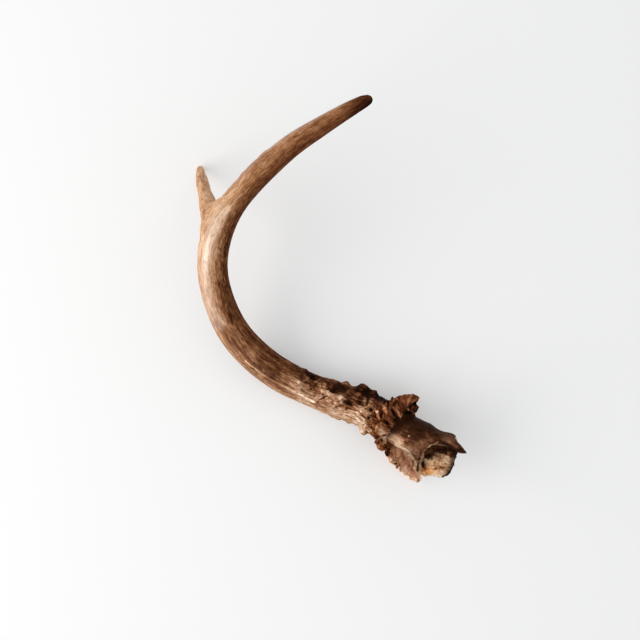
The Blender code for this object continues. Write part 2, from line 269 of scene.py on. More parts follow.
# %% [markdown]
# ## Marks seen from above
# The camera looks straight down from 1.2 metres, so what it sees can be drawn on like a map. A mark is an
# amount, a width in the picture's pixels and a path or a single spot. The amount is a height in millimetres
# for a ridge or a pit and a change of colour for a stain, a pale place, a painted shadow or a painted
# highlight. A mark acts on the parts of the skin that face up and lie under it, which puts each form where the
# real one is. A drag moves the points sideways instead.

# %% The camera's place and the map it sees
CAMERA_HEIGHT = 1200      # in mm above the floor
FLOOR_MM_PER_PIXEL = 0.9
PICTURE_MIDDLE = 320
camera_place = np.array((PART_SHIFT[0], PART_SHIFT[1], CAMERA_HEIGHT))


def map_places(points):
    """Where each point is seen in a 640 by 640 picture."""
    nearer = CAMERA_HEIGHT / (CAMERA_HEIGHT - points[:, 2])
    across = PICTURE_MIDDLE + (points[:, 0] - camera_place[0]) / FLOOR_MM_PER_PIXEL * nearer
    down = PICTURE_MIDDLE - (points[:, 1] - camera_place[1]) / FLOOR_MM_PER_PIXEL * nearer
    return np.stack([across, down], axis=1)


def from_picture(across, down, height):
    """The point that is seen at a place in the picture, at a height in mm above the floor."""
    farther = FLOOR_MM_PER_PIXEL * (CAMERA_HEIGHT - height) / CAMERA_HEIGHT
    return np.array((camera_place[0] + (across - PICTURE_MIDDLE) * farther,
                     camera_place[1] + (PICTURE_MIDDLE - down) * farther, height))


def stroke(seen, path, width):
    """1 on the path or spot, 0 from the width outwards."""
    path = np.array(path, float).reshape(-1, 2)
    nearest = np.linalg.norm(seen - path[0], axis=1)
    for start, end in zip(path[:-1], path[1:]):
        span = end - start
        share = np.clip(((seen - start) @ span) / (span @ span), 0, 1)
        nearest = np.minimum(nearest, np.linalg.norm(seen - start - share[:, None] * span, axis=1))
    return dome(nearest, width)


def dragged(points, seen, moves):
    """Moves the points near places in the picture by so many mm to the right and so many mm up."""
    for place, width, (right, up) in moves:
        points = points + stroke(seen, place, width)[:, None] * np.array((right, up, 0))
    return points


def marks_on(seen, facing, marks):
    """The sum of several marks on the points that face the camera."""
    total = np.zeros(len(seen))
    for amount, width, path in marks:
        total += amount * stroke(seen, path, width)
    return total * ramp(-0.15, 0.2, facing)


# %% [markdown]
# ## The antler's skin
# Beam, burr and tine grew as one bone, so they get one skin. In the fork the bone fills the corner between
# beam and tine with a web. As with clay, three balls are laid into the corner, two in the beam and one in the
# tine, and the tight hull around them makes the web. The tine's root is moved a little way into the beam, and
# the remesh then closes all of it to one body.

# %% A web of bone in the fork
def place_on(line, distance):
    return np.array([np.interp(distance, line[1], line[0][:, axis]) for axis in range(3)])


def tight_hull(balls):
    """The tight skin around balls that are given as a middle and a radius in millimetres."""
    made = []
    for middle, radius in balls:
        bpy.ops.object.select_all(action="DESELECT")
        bpy.ops.mesh.primitive_ico_sphere_add(subdivisions=3, radius=radius * MM, location=tuple(middle * MM))
        made.append(bpy.context.active_object)
    select_only(*made)
    bpy.ops.object.join()
    bpy.ops.object.mode_set(mode="EDIT")
    bpy.ops.mesh.select_all(action="SELECT")
    bpy.ops.mesh.convex_hull()
    bpy.ops.mesh.normals_make_consistent(inside=False)
    bpy.ops.object.mode_set(mode="OBJECT")
    hull = bpy.context.view_layer.objects.active
    bpy.ops.object.transform_apply(location=True, rotation=True, scale=True)
    print("hull faces", len(hull.data.polygons))
    return hull


# line, distance along it, rise above it and radius, all in mm
WEB_BALLS = [(beam_line, 252, -1.5, 9), (beam_line, 292, -1, 8.4), (tine_line, 21, 0.3, 7.2)]
web = tight_hull([(place_on(line, distance) + (0, 0, rise), radius)
                  for line, distance, rise, radius in WEB_BALLS])

# %% Join beam, tine and web under one skin
SKIN_GRID = 0.62            # size of the skin's squares in mm
ROOT_FACE = 0.8             # how thick a slice of the tine's root is moved, in mm
ROOT_SHARE = 0.08           # how far it is moved, as a share of the way to the middle of the beam
beam_copy = merged_copy("beam", "antler_skin")
tine_copy = merged_copy("tine", "tine_root")
tine_points = read_points(tine_copy)
root_distance, _, _ = along_line(tine_points, tine_line)
tine_points[root_distance < root_distance.min() + ROOT_FACE] += (BEAM_LINE[6] - TINE_LINE[1]) * ROOT_SHARE
write_points(tine_copy, tine_points)
select_only(beam_copy, tine_copy, web)
bpy.ops.object.join()
antler = bpy.context.view_layer.objects.active
even_skin(antler, SKIN_GRID, 5)

# %% Where each point of the skin lies
points = read_points(antler)
normals = read_normals(antler)
beam_s, beam_r, beam_a = along_line(points, beam_line)
tine_s, tine_r, tine_a = along_line(points, tine_line)
on_tine = ramp(12, 24, tine_s) * (tine_r < 14) * (beam_r > 12)
plate_height, plate_radius, plate_angle = around_burr(points)
seen = map_places(points)
facing = normals[:, 2]
inner, upper = np.cos(beam_a), np.sin(beam_a)
uneven_height = plate_height + 4 * hills(points, 6, 2, 95)
near_burr = beam_s < 40
lowest_end = beam_s < 60
burr_zone = ramp(17, 23, plate_radius) * ramp(-21, -8, uneven_height) * (plate_height < 24) * near_burr
skull_side = burr_zone * ramp(-0.1, 0.35, normals @ burr_axis)
print("burr points", int((burr_zone > 0.5).sum()), "tine points", int((on_tine > 0.5).sum()))

# %% [markdown]
# The upper beam is worn smooth, so its skin is averaged a little more. Around the fork it is averaged most,
# and what stays hollow there is pushed out by as much as it is hollow. A few drags then set its outline.

# %% Smooth the long beam and fill the fork
FORK_REACH = 38             # how far around the fork the bone is smoothed, in mm
MOST_FILL = 1.6
near_fork = dome(np.linalg.norm(points - TINE_LINE[1], axis=1), FORK_REACH) ** 0.5
calm = settled(antler, points, 24)
write_points(antler, points + (calm - points) * ramp(60, 120, beam_s)[:, None])
push(antler, "fork fill", near_fork * np.clip(hollowness(antler, 60), 0, MOST_FILL))
calm = settled(antler, read_points(antler), 24)
write_points(antler, read_points(antler) * (1 - near_fork[:, None]) + calm * near_fork[:, None])
FORK_DRAGS = [
    ((252, 164), 16, (-0.5, 0.7)), ((263, 153), 9, (-0.7, 0.9)), ((242, 174), 6, (-0.4, 0.5)),
    ((225.5, 192), 5, (0.3, -0.5)), ((219.5, 194.5), 5, (0.4, -1.3)), ((199, 238), 11, (1.3, 0)),
    ((197, 196), 10, (0.8, 0)), ((205, 173), 5, (-0.7, 0)), ((212, 190), 5, (-0.6, 0)),
]
write_points(antler, dragged(read_points(antler), seen, FORK_DRAGS))
print("skin moved by up to", round(float(np.linalg.norm(read_points(antler) - points, axis=1).max()), 1), "mm")

# %% [markdown]
# Long gutters and fine grooves follow the beam. Noise that is stretched along the bone gives them: each point
# is unrolled to (distance along, place around), and the distance is pressed together before the noise is read.

# %% Grooves along the bone
BEAM_RADIUS, TINE_RADIUS = 13.5, 6
TINE_START = 250          # how far along the beam the tine's grain takes over
beam_grain = unroll(beam_s, BEAM_RADIUS, beam_a)
tine_grain = unroll(tine_s + TINE_START, TINE_RADIUS, tine_a)
grain = beam_grain * (1 - on_tine[:, None]) + tine_grain * on_tine[:, None]
stretched = grain * (0.05, 1, 1)
fine_stretched = grain * (0.1, 1, 1)
worn_smooth = ramp(190, 240, beam_s) * ramp(330, 290, beam_s)
groove_strength = (0.3 + 0.6 * ramp(300, 100, beam_s)) * (1 - 0.6 * worn_smooth) * (1 - 0.85 * burr_zone)
broad = hills(stretched, 6, 2)
fine = hills(fine_stretched, 2.2, 2, 31)
BROAD_DEPTH, FINE_DEPTH = 0.5, 0.4
push(antler, "grooves", groove_strength * (BROAD_DEPTH * broad - FINE_DEPTH * np.abs(fine)))

# %% [markdown]
# Towards the burr the bone is knobbly. The knobs crowd underneath and on the upper and inner side of the beam,
# where they run together into lumps with dark pits between them. A smoother strip stays along the outer side.

# %% Lumps and pits on the base of the beam
LUMPY_BAND = [(296, 372), (318, 383), (345, 396), (372, 404)]
lumpy = np.maximum(stroke(seen, LUMPY_BAND, 21) ** 0.7 * ramp(-0.3, 0.1, facing),
                   ramp(0.1, -0.3, facing) * ramp(105, 30, beam_s))
lumpy = np.clip(lumpy * 1.3, 0, 1) * ramp(118, 85, beam_s) * (1 - burr_zone)
swirl = np.stack([hills(grain, 7, 1, shift) for shift in (60, 70, 80)], axis=1)
flowing = grain * (0.62, 1, 1) + 1.3 * swirl
broad_lump = hills(flowing, 8.5, 1, 3)
small_lump = hills(flowing, 4.4, 1, 9)
lumps = 3.6 * broad_lump + 2.1 * small_lump + 0.5 * hills(points, 2.2, 2, 21)
TALLEST_LUMP = 1.8
push(antler, "lumps", lumpy * np.clip(lumps, -TALLEST_LUMP, TALLEST_LUMP))

# %% Single forms that the photograph shows on the beam
LONG_RIDGE = [(246, 361), (264, 375.2), (283.3, 385.7), (297.6, 393.4), (314, 401.8)]
BEAM_MARKS = [
    (0.7, 1.8, LONG_RIDGE),
    (-0.4, 2.2, [(266, 372.8), (276.6, 378), (284, 383), (290, 387.6), (298, 392)]),
    (-0.3, 1.6, [(254, 372), (272, 385), (290, 396.2), (305, 403)]),
    (0.4, 1.2, [(250, 371.5), (270, 387), (292, 400)]), (-0.6, 1.2, [(240, 350), (252, 362), (262, 370)]),
    (-0.4, 1.2, [(300, 389), (312, 396), (322, 400)]),
    (-0.5, 1.6, [(317, 403.5), (319, 400.5), (323, 398), (327, 396)]), (2.2, 5.6, (362, 388.2)),
    (1.4, 2.8, (373.8, 392)), (1.6, 4.6, (363, 431)), (1, 1.6, (368.6, 431.2)), (0.9, 2.4, (299, 382)),
    (1, 2.8, (308, 385)), (1.3, 3, (325, 385)), (1.1, 2.6, (329, 390)), (0.9, 2.5, (331, 401)),
    (1.1, 3.2, (341, 397)), (0.9, 2.6, (356, 388)), (1.2, 3, (360.5, 394)), (0.9, 2.6, (334, 406)),
    (0.9, 2.4, (353, 397)), (0.8, 2.2, (322, 391)), (-0.6, 2.4, (294.7, 370.4)),
    (-0.8, 2.8, [(302, 376), (305, 378)]), (-0.6, 2.2, (306, 381)), (-1, 3, [(312, 377), (317, 379)]),
    (-0.8, 2.4, (316, 384)), (-0.6, 2.2, (319, 376)), (-0.6, 2.2, (311, 388.6)),
    (-0.9, 2.6, [(329, 386), (333, 388)]), (-0.8, 3.2, [(335, 391), (338, 394)]),
    (-0.8, 2.8, [(343, 389), (346, 392)]), (-0.7, 2.6, (348, 396)), (-0.7, 3, [(345, 401), (351, 404)]),
    (-0.6, 2.2, (345.5, 409.6)), (-0.6, 2.2, (323.4, 398)), (-0.8, 3, [(354, 400), (362.7, 405)]),
    (-0.8, 1.8, (363.6, 424.5)), (-1.2, 2.4, [(365, 391), (368.5, 397), (366.5, 404)]), (-1.5, 2.2, (371, 410)),
    (-1.3, 2.2, (368.5, 418)), (-0.9, 1.8, (356, 392)),
] + [(amount, 1.3, [(352 - shift, 407 + shift), (360 - 0.8 * shift, 409.5 + 0.9 * shift),
                    (367 - 0.7 * shift, 417 + shift)])
     for amount, shift in ((0.5, 0), (-0.2, 1.9), (0.6, 3.3), (-0.25, 5.4), (0.4, 7), (-0.2, 8.3), (0.4, 10.2))]
push(antler, "forms on the beam", marks_on(seen, facing, BEAM_MARKS) * (1 - 0.5 * burr_zone))

# %% [markdown]
# ## The burr
# The burr is a crown of drops that ran together. On the side of the skull it is thick: a crust of ribs climbs
# a little way up the skull bone, with deep dark cracks between the ribs. The ribs run outwards from the middle,
# so their pattern is noise that is stretched along the radius and narrow around it.

# %% Lift the crust around the skull bone
def around_span(angle, start, end, soft):
    """1 between two angles in degrees, going up from the start, and 0 outside them."""
    width = (end - start) % 360
    middle = start + width / 2
    off = np.abs((angle - middle + 180) % 360 - 180)
    return ramp(width / 2 + soft, width / 2 - soft, off)


plate_turn = np.radians(plate_angle)
BURR_RADIUS = 27
RIB_SQUEEZE = 0.34          # squeezes the pattern along the radius, which draws it out into ribs
ribbed = unroll(plate_radius * RIB_SQUEEZE, BURR_RADIUS, plate_turn)
bent_ribs = ribbed + 1.6 * hills(points, 6, 1, 40)[:, None]
rib = np.abs(hills(bent_ribs, 6.4, 1, 6))
fine_rib = np.abs(hills(bent_ribs, 2.9, 1, 17))
over_bone = around_span(plate_angle, -20, 112, 16)
face = ramp(0.1, 0.4, normals @ burr_axis) * (np.abs(plate_height) < 12) * near_burr
climb = ramp(32, 18.5, plate_radius) * ramp(15.5, 17.6, plate_radius)
ragged = hills(ribbed, 3.4, 2, 55)
lift = face * climb * (4 * over_bone + 1) * np.clip(1.05 - 0.9 * rib + 0.25 * ragged, 0.4, 1.15)
write_points(antler, read_points(antler) + burr_axis * lift[:, None])
print("crust lifted by up to", round(float(lift.max()), 1), "mm")

# %% Ribs, cracks and drops of the burr
on_ear = around_span(plate_angle, -14, 38, 8) * ramp(22, 27, plate_radius)
ribs = 0.8 - 3.4 * rib - 2.2 * fine_rib + 0.9 * ragged + 0.4 * hills(points, 1.9, 2, 66)
on_lobe = around_span(plate_angle, 185, 295, 20) * ramp(13, 17, plate_radius)
drops, _ = cells(points + 1.8 * hills(points, 5, 1, 90)[:, None], 5.4, 3)
beads = 2.4 * (0.42 - drops) + 1.3 * hills(points, 4, 2, 29)
crust_face = np.maximum(skull_side, face * ramp(16.5, 18.5, plate_radius))
soft_ribs = 0.9 * hills(ribbed, 4.6, 1, 25) + 0.5 * hills(ribbed, 2.6, 1, 35)
crumple = (crust_face * (ribs * (1 - 0.75 * on_ear) * (1 - on_lobe)
                         + soft_ribs * (0.6 * on_lobe + 0.8 * on_ear))
           + burr_zone * (1 - skull_side) * beads)
crumple += crust_face * on_lobe * ramp(22.5, 26, plate_radius) * beads
collar = ramp(30, 12, beam_s) * (1 - burr_zone) * (1 - face)
crumple += collar * 0.8 * beads
combed = np.stack([seen[:, 0], seen[:, 1] * 0.22, points[:, 2] * 0.3], axis=1)
feather = hills(combed, 1.7, 3, 12)
tongue = stroke(seen, [(399, 400), (414, 398.5)], 8.5) ** 0.5 * burr_zone
facing_up = ramp(0, 0.3, facing)
folded = stroke(seen, [(386, 414), (396, 411), (408, 403), (413, 401)], 15) ** 0.5 * facing_up * burr_zone
quiet = stroke(seen, [(379, 431), (388, 434), (384, 437)], 7.5) * facing_up
crumple = (crumple * (1 - 0.6 * folded) * (1 - 0.8 * tongue) * (1 - quiet)
           + 0.7 * feather * folded * (1 - tongue) ** 2)
DEEPEST_CRACK, TALLEST_BEAD = 2.4, 1.9
push(antler, "cracks and beads", np.clip(crumple, -DEEPEST_CRACK, TALLEST_BEAD))

# %% Single forms that the photograph shows on the burr
EDGE_REACH = 0.1            # lets marks reach a little further down the sides
EAR_NOTCH_EDGE = [(407, 409), (413, 413)]
BURR_MARKS = [
    (2.2, 3.6, [(403, 402), (398.5, 408), (397, 413.5), (399.5, 419), (398, 423)]),
    (2, 3.2, [(385.5, 409), (386.5, 414.7), (388.5, 421), (391, 426)]),
    (-2.4, 2.6, [(414.3, 403.5), (408, 407)]), (1.2, 1.4, EAR_NOTCH_EDGE), (1.2, 1.6, (413, 480)),
    (1.2, 1.6, (418, 480)), (-1.2, 1.2, (415.4, 480.5)), (0.5, 2.4, [(403, 396.5), (411, 395), (417.5, 398)]),
    (-1.6, 1.8, [(388.3, 401), (388.5, 406)]), (-1.2, 2.1, [(397, 401.3), (393, 405.3)]),
    (-2, 2.1, [(392, 410), (393.7, 418), (394.5, 425)]), (-2, 1.9, [(381.2, 408), (381.6, 418)]),
    (-1.6, 1.6, [(385.5, 400.5), (384, 405)]), (-1.6, 2.3, [(406, 411.5), (404, 418), (401.5, 425)]),
    (1.6, 2.8, (374.5, 425.5)), (1.5, 2.2, [(377, 412), (378.5, 418)]), (1.2, 2, (379.5, 424.5)),
    (-1.6, 1.6, [(376.5, 420.5), (374, 430)]), (-1.3, 1.4, (381, 421)), (-2.2, 2.4, (381.5, 439.8)),
    (1.2, 2, (378.5, 446)), (0.6, 2, (384.5, 451)), (1.5, 2.4, (391.5, 459)), (1.4, 2.3, (400, 467.5)),
    (1.6, 2.5, (409, 477)), (1.6, 2.3, (415.5, 477.5)), (1.2, 1.8, (404, 474)), (-1.5, 1.6, (382, 447.5)),
    (-1.6, 1.8, (388, 455.2)), (-1.6, 1.9, (396, 463.6)), (-1.5, 1.6, (405, 471)), (-1.5, 1.4, (418.3, 479)),
    (-1.3, 1.4, (412.5, 479)), (0.7, 1.5, [(402, 453), (399, 461)]), (0.7, 1.5, [(408, 458), (404, 467)]),
    (-0.7, 1.3, [(405, 455), (401, 464)]), (0.6, 1.4, [(412, 462), (408, 471)]),
    (-0.7, 1.2, [(410, 460), (406.5, 468.5)]),
]
push(antler, "forms on the burr", marks_on(seen, facing + EDGE_REACH, BURR_MARKS) * lowest_end)

# %% Nicks and spikes of the burr's outline
BURR_DRAGS = [
    ((408, 393), 5, (0, -1.3)), ((417, 396), 3, (1.2, 0)), ((418.5, 403.8), 2.8, (-3, 0)),
    ((416.5, 414), 3, (-2.2, 0)), ((379, 394), 8, (0, -1.3)), ((371.5, 439), 5, (3.4, 0.3)),
    ((374.5, 446), 4, (1.5, 0.6)), ((386.5, 457), 2, (1.1, 1)), ((394.5, 467.5), 2, (1, 1.1)),
    ((417, 480), 6, (0.2, -2.2)), ((404, 474), 4, (-0.6, -0.6)), ((410, 479), 4.5, (-0.6, -1.9)),
    ((420, 479), 4, (2.6, -1.2)), ((401, 472), 5.5, (-1.2, -1.3)), ((411, 480), 4, (-0.6, -0.8)),
    ((391, 461), 4, (-0.5, -0.5)), ((392, 400), 2.2, (0, 3.4)), ((402, 395), 4, (0, -0.8)),
    ((382, 451), 5.5, (2.6, 1.9)), ((386, 398), 6, (0, -0.6)), ((417.5, 399), 4, (0.8, 0.3)),
    ((388, 457), 3, (-1.3, 0)), ((396, 468), 3, (-0.9, -0.6)), ((406, 476), 3, (-0.3, -1.4)),
    ((413, 481), 3.5, (-0.2, -1.2)), ((419.5, 481), 3, (0.3, -1.2)),
]
moved = dragged(read_points(antler), seen, BURR_DRAGS)
write_above_floor(antler, np.where(lowest_end[:, None], moved, read_points(antler)))
print("burr outline moved at", len(BURR_DRAGS), "places")

# %% [markdown]
# ## The stump of skull bone
# The bone under the burr is dense and smooth on the outside. Where it broke off the skull it shows a thin dark
# wall, a hollow and pale spongy bone; the hollow's near black is painted shade. A thin lip of the wall hangs
# over the hollow and ends in a tooth.
# The stump has a skin of its own, with smaller squares for the sharp edges.

# %% Skin over the skull bone
PEDICLE_GRID = 0.45         # smaller than the antler's, for the sharp edges
# places in the picture, height above the floor and radius in mm
LIP = [
    (441.5, 440.3, 71.2, 0.9), (454, 439.5, 63, 1.2), (460, 446, 76.3, 1), (466.3, 452.8, 81.6, 0.5),
    (460, 452.6, 79.5, 0.6), (452.5, 447.5, 76, 0.6), (447.5, 443.4, 73.5, 0.7),
]
lip = tight_hull([(from_picture(across, down, height), radius) for across, down, height, radius in LIP])
pedicle = merged_copy("pedicle", "skull_bone_skin")
select_only(pedicle, lip)
bpy.ops.object.join()
even_skin(pedicle, PEDICLE_GRID, 0)
BONE_DRAGS = [
    ((452, 462), 8, (2, -0.8)), ((446, 470), 12, (4.4, -4.4)), ((438, 474), 7, (0.3, -1.8)),
    ((431, 478), 4.5, (0, 0.8)), ((442, 426), 13, (-0.6, -1.9)), ((424, 475), 5, (0, -1.8)),
    ((440.5, 477.5), 4, (0, -1.2)),
]
moved = read_points(pedicle)
write_above_floor(pedicle, dragged(moved, map_places(moved), BONE_DRAGS))
even_skin(pedicle, PEDICLE_GRID, 2)
bone_points = read_points(pedicle)
bone_normals = read_normals(pedicle)
bone_height, bone_radius, bone_angle = around_burr(bone_points)
bone_seen = map_places(bone_points)
bone_facing = bone_normals[:, 2]
broken = ramp(0.2, 0.55, bone_normals @ burr_axis) * ramp(18, 30, bone_height)

# %% The hollow and the spongy bone
HOLLOW_BAND = [(429.5, 454), (436, 449), (443, 447.5), (454, 452)]
hollow_edge = stroke(bone_seen + 1.6 * hills(bone_points, 3.2, 2, 51)[:, None], HOLLOW_BAND, 8.6)
hollow = ramp(0.12, 0.5, hollow_edge) * broken
sponge_lump, sponge_wall = cells(bone_points, 1.7, 4)
inside_wall = ramp(14.5, 12.5, bone_radius)
sponge = broken * (inside_wall * (0.4 * (0.5 - sponge_lump) - 0.35 * (1 - ramp(0, 0.25, sponge_wall)))
                   + 0.8 * hills(bone_points, 5, 2))
crags = hollow * 1.6 * hills(bone_points, 3.6, 3, 8)
BONE_RADIUS = 17
bone_turn = np.radians(bone_angle)
bone_along = unroll(bone_height * 0.1, BONE_RADIUS, bone_turn)
outer = (1 - broken) * (0.18 * hills(bone_along, 3, 2) + 0.35 * hills(bone_points, 11))
LIP_EDGE = [(427, 452.5), (431.5, 446.5), (438, 442)]
FLANGE_END = [(415.5, 461), (414.5, 470)]
BONE_MARKS = [
    (0.5, 1.6, [(395, 446), (403, 449.5), (409, 452.5), (413, 457)]),
    (-0.8, 1.8, [(398, 451), (406, 455), (411, 460)]), (0.9, 1.5, FLANGE_END),
    (-1.6, 1.6, [(419, 460), (418, 465), (417.5, 470)]), (0.6, 1.6, LIP_EDGE),
    (0.5, 1.6, (409, 436)), (-0.5, 1.6, (406, 440)), (-0.6, 2, [(421, 453), (419, 459)]),
]
push(pedicle, "forms of the skull bone", sponge + crags + outer + marks_on(bone_seen, bone_facing, BONE_MARKS))
HOLLOW_DEPTH = 5
sunk = HOLLOW_DEPTH * hollow * ramp(14.5, 12, bone_radius)
write_above_floor(pedicle, read_points(pedicle) - burr_axis * sunk[:, None])
print("skull bone faces", len(pedicle.data.polygons), "hollow points", int((hollow > 0.5).sum()))

# %% [markdown]
# ## Values that the colours read
# Dirt stays in the pits and wear polishes the ridges. How deep each point lies is measured on the finished
# mesh and kept with it as an attribute. Beside it go the unrolled place for the streaks and a few painted
# values: how pale the bone is, with painted light and highlights, how red, how stained, with painted shadows
# and shade, how speckled and how polished.

# %% Keep values with the mesh
def keep_value(thing, name, values, kind="FLOAT", field="value"):
    attribute = thing.data.attributes.new(name, kind, "POINT")
    attribute.data.foreach_set(field, np.asarray(values, np.float32).ravel())
    print(thing.name, "keeps", name, "on", len(attribute.data), "points")


def keep_share(thing, name, values):
    """Keeps a value that goes from 0 to 1."""
    keep_value(thing, name, np.clip(values, 0, 1))


def keep_grain(thing, places):
    """Keeps the unrolled place of each point, in metres."""
    keep_value(thing, "grain", places * MM, "FLOAT_VECTOR", "vector")


NEAR_PIT, WIDE_PIT = 0.12, 0.9          # depths in mm that count as a full pit, over a short and a long reach


def pit_depth(thing):
    """Above 0 in pits and below 0 on ridges."""
    near = np.clip(hollowness(thing, 3) / NEAR_PIT, -1, 1)
    wide = np.clip(hollowness(thing, 24) / WIDE_PIT, -1, 1)
    return near * 0.5 + wide * 0.6


# %% Paint the antler
seen = map_places(read_points(antler))
facing = read_normals(antler)[:, 2]
lobe_face = on_lobe * stroke(seen, [(392, 447), (402, 458), (414, 474)], 8.5) ** 0.5
antler_pit = pit_depth(antler) * (1 - 0.75 * lobe_face)
antler_pit = np.where(antler_pit < 0, antler_pit * (1 - 0.8 * tongue) * (1 - 0.5 * folded), antler_pit)
keep_value(antler, "pit", antler_pit)
# between 95 and 240 mm along the bone the pattern runs slower, which draws the streaks out there
ALONG_BONE, ALONG_PATTERN = (0, 95, 130, 190, 240, 600), (0, 95, 121, 157, 199, 559)
pressed_along = np.interp(grain[:, 0], ALONG_BONE, ALONG_PATTERN)
keep_grain(antler, np.column_stack([pressed_along, grain[:, 1:]]))
outside = ramp(-0.5, 0.8, -inner) * ramp(-0.7, 0.3, upper)
inside = ramp(0.05, 0.85, inner)
# where one stretch of the beam goes over into the next, in mm along it
BASE_END, BEND_START, BEND_END, TIP_START = (95, 125), (180, 215), (295, 335), (412, 444)
base_part = falling(*BASE_END, beam_s)
low_part = falling(*BEND_START, beam_s) * (1 - base_part)
bend_part = ramp(*BEND_START, beam_s) * falling(*BEND_END, beam_s)
high_part = ramp(*BEND_END, beam_s)
tip = ramp(*TIP_START, beam_s)
BASE_TONE, LOW_TONE, BEND_TONE, HIGH_TONE = 0.64, 0.49, 0.69, 0.50
TINE_TONE, FORK_TONE, TIP_DARKER, PIT_DARKER = 0.80, 0.74, 0.34, 0.26
# The outer side faces the light and is painted paler, the inner side darker: partly the bone's own colour and
# partly painted light and shade.
tone = (base_part * (BASE_TONE + 0.08 * outside * (1 - lumpy) - 0.28 * inside)
        + low_part * (LOW_TONE + 0.12 * outside - 0.12 * inside)
        + bend_part * (BEND_TONE + 0.15 * outside - 0.34 * ramp(0.2, 0.95, inner))
        + high_part * (HIGH_TONE + 0.14 * outside - 0.12 * inside))
tone -= TIP_DARKER * tip
tone -= PIT_DARKER * lumpy * ramp(0.1, -0.35, broad_lump + 0.5 * small_lump)
tone = tone * (1 - on_tine) + TINE_TONE * on_tine
tone = np.maximum(tone, FORK_TONE * near_fork * outside)
tone += 0.05 * hills(grain * (0.3, 1, 1), 9, 3, 5)
crust = np.clip(burr_zone + ramp(26, 10, beam_s) + face, 0, 1)
crust_tone = (0.36 + 0.20 * hills(points, 6, 2, 77) * (1 - folded) + 0.50 * on_lobe
              + 0.12 * feather * folded * (1 - tongue) ** 2 + 0.34 * quiet + 0.14 * tongue)
tone = tone * (1 - crust) + crust * crust_tone

# %% Stains, painted shadows, pale places and painted highlights of the antler
BEAM_STAINS_AND_SHADOWS = [
    (0.25, 1.6, [(317, 403), (319, 400.5), (323, 398), (327, 396)]),
    (0.25, 5, [(296, 368), (315, 378), (330, 383)]), (0.45, 4, (330, 383.5)),
    (0.35, 5, [(335, 388), (348, 393)]), (0.35, 3.8, [(311, 377), (318, 382)]),
    (0.34, 3.4, [(300, 375), (305, 378)]), (0.3, 3.8, [(335, 391), (339, 395)]),
    (0.35, 4, [(345, 400), (351, 404)]), (0.35, 4.2, [(365, 389), (369, 397), (366.5, 404)]),
    (0.45, 2.8, (371, 410)), (0.45, 2.6, (368.5, 418)), (0.35, 3.4, [(376, 398), (379, 407)]),
    (0.5, 4.5, [(376, 394), (384, 399)]), (0.35, 3, [(354, 400), (363, 405)]), (1.3, 3, (392.2, 397.8)),
    (0.35, 2.4, [(397, 402), (393.5, 406)]), (0.5, 2.1, [(392, 410), (393.7, 418), (395, 425.5)]),
    (0.7, 1.8, [(380.5, 410), (380.5, 416)]),
    # painted shadow along the lower edge of the ear, where the skull bone lies in shade under it
    (0.9, 2.8, [(409, 412), (404.5, 414), (403.5, 421), (400, 426), (394, 429)]),
    (0.9, 2.2, [(415.5, 403), (408, 407)]), (0.5, 2.4, [(411, 410.5), (418, 410)]),
    (0.55, 2, [(388.3, 401), (388.5, 407)]), (0.6, 1.6, [(372.3, 410.7), (372.3, 414.7)]),
    (0.6, 1.4, [(373, 417.3), (373, 420)]), (0.45, 4, [(382, 399), (388, 402), (388, 407)]),
    (0.4, 3, [(398, 403), (402, 404.5)]), (0.8, 2, (375, 441)), (0.6, 2, (388, 455.5)), (0.6, 2.2, (396, 464)),
    (0.7, 1.8, (418.5, 480)), (0.6, 3, (418, 408)), (0.45, 5, [(363, 101), (370, 99)]),
]
